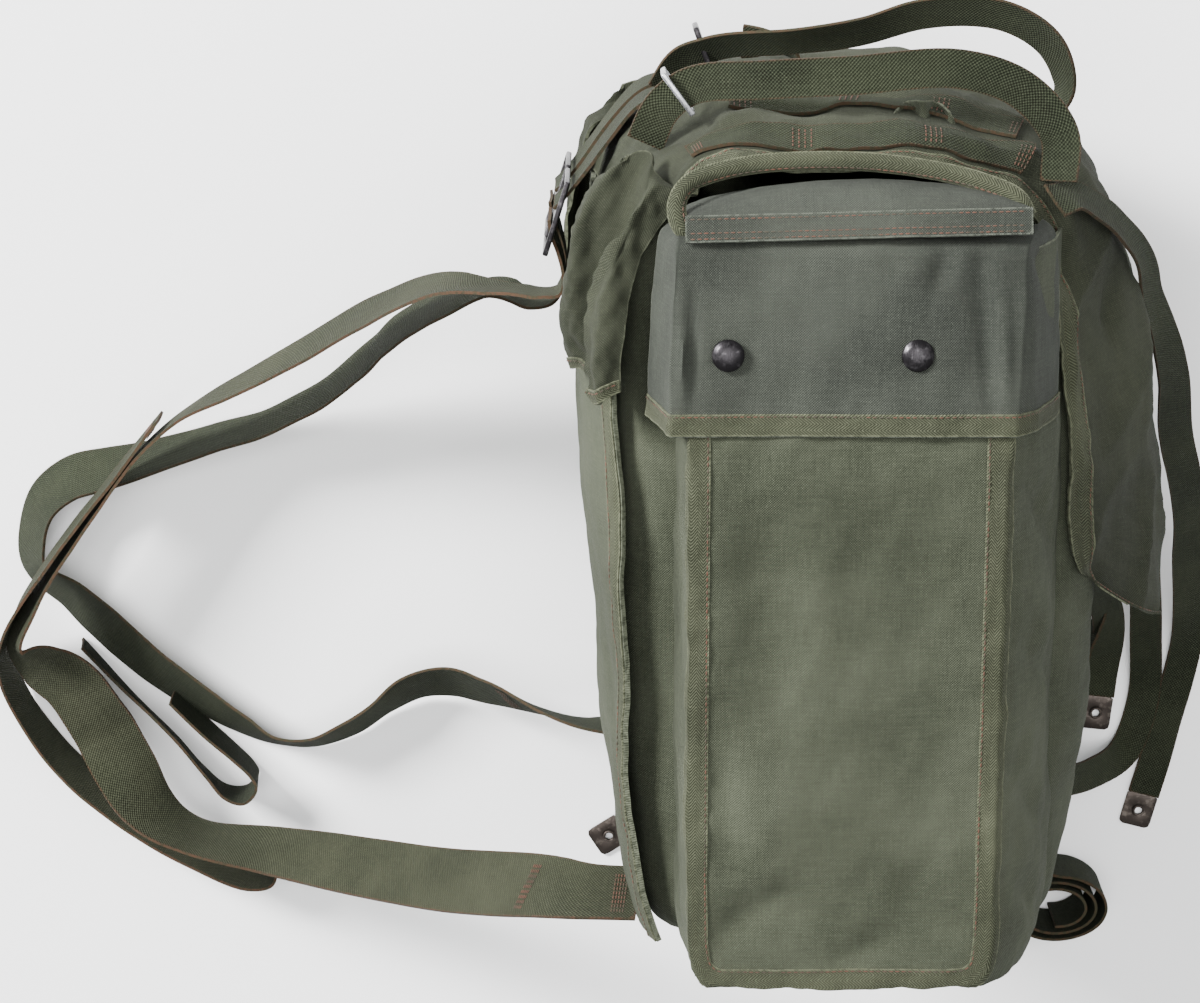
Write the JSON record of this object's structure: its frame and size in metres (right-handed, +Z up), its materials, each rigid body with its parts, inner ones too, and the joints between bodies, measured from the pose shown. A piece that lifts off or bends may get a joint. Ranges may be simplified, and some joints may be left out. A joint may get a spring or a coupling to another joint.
{
  "type": "canvas rucksack",
  "caption": "Canvas rucksack lying on its side, with bellows side pockets, snap flaps, a large lid, webbing shoulder straps, slider buckles and metal strap tips.",
  "frame": {"origin": "middle of the part of the far side pocket's face that the rucksack lies on", "axes": "+X from the wearer's back to the bag's front, +Y up the bag to its lid, +Z up from the surface to the near side pocket"},
  "size_m": [0.7527, 0.6289, 0.42],
  "materials": {
    "canvas": "woven olive canvas",
    "flap_canvas": "woven olive canvas",
    "webbing": "woven cotton webbing",
    "dark_metal": "blackened steel",
    "tip_metal": "worn nickel"
  },
  "bodies": {
    "root": {"body": "canvas", "back_panel": "canvas", "lid": "flap_canvas", "near_pocket": "canvas", "near_flap": "flap_canvas", "near_cap_back": "dark_metal", "near_cap_front": "dark_metal", "near_ear": "flap_canvas", "far_pocket": "canvas", "far_flap": "flap_canvas", "far_cap_back": "dark_metal", "far_cap_front": "dark_metal", "far_ear": "flap_canvas", "near_shoulder_upper": "webbing", "near_shoulder_lower": "webbing", "near_shoulder_tail": "webbing", "far_shoulder_upper": "webbing", "far_shoulder_lower": "webbing", "far_shoulder_tail": "webbing", "near_anchor": "webbing", "near_shoulder_slider": "dark_metal", "far_anchor": "webbing", "far_shoulder_slider": "dark_metal", "near_lid_strap": "webbing", "near_lid_slider": "dark_metal", "far_lid_strap": "webbing", "far_lid_slider": "dark_metal", "far_lid_tail": "webbing", "lid_webbing": "webbing", "lid_return": "webbing", "near_front_strap": "webbing", "near_front_tip": "tip_metal", "second_front_strap": "webbing", "second_front_tip": "tip_metal", "far_front_strap": "webbing", "rolled_strap": "webbing", "low_strap": "webbing", "low_tip": "tip_metal"}
  },
  "joints": []
}
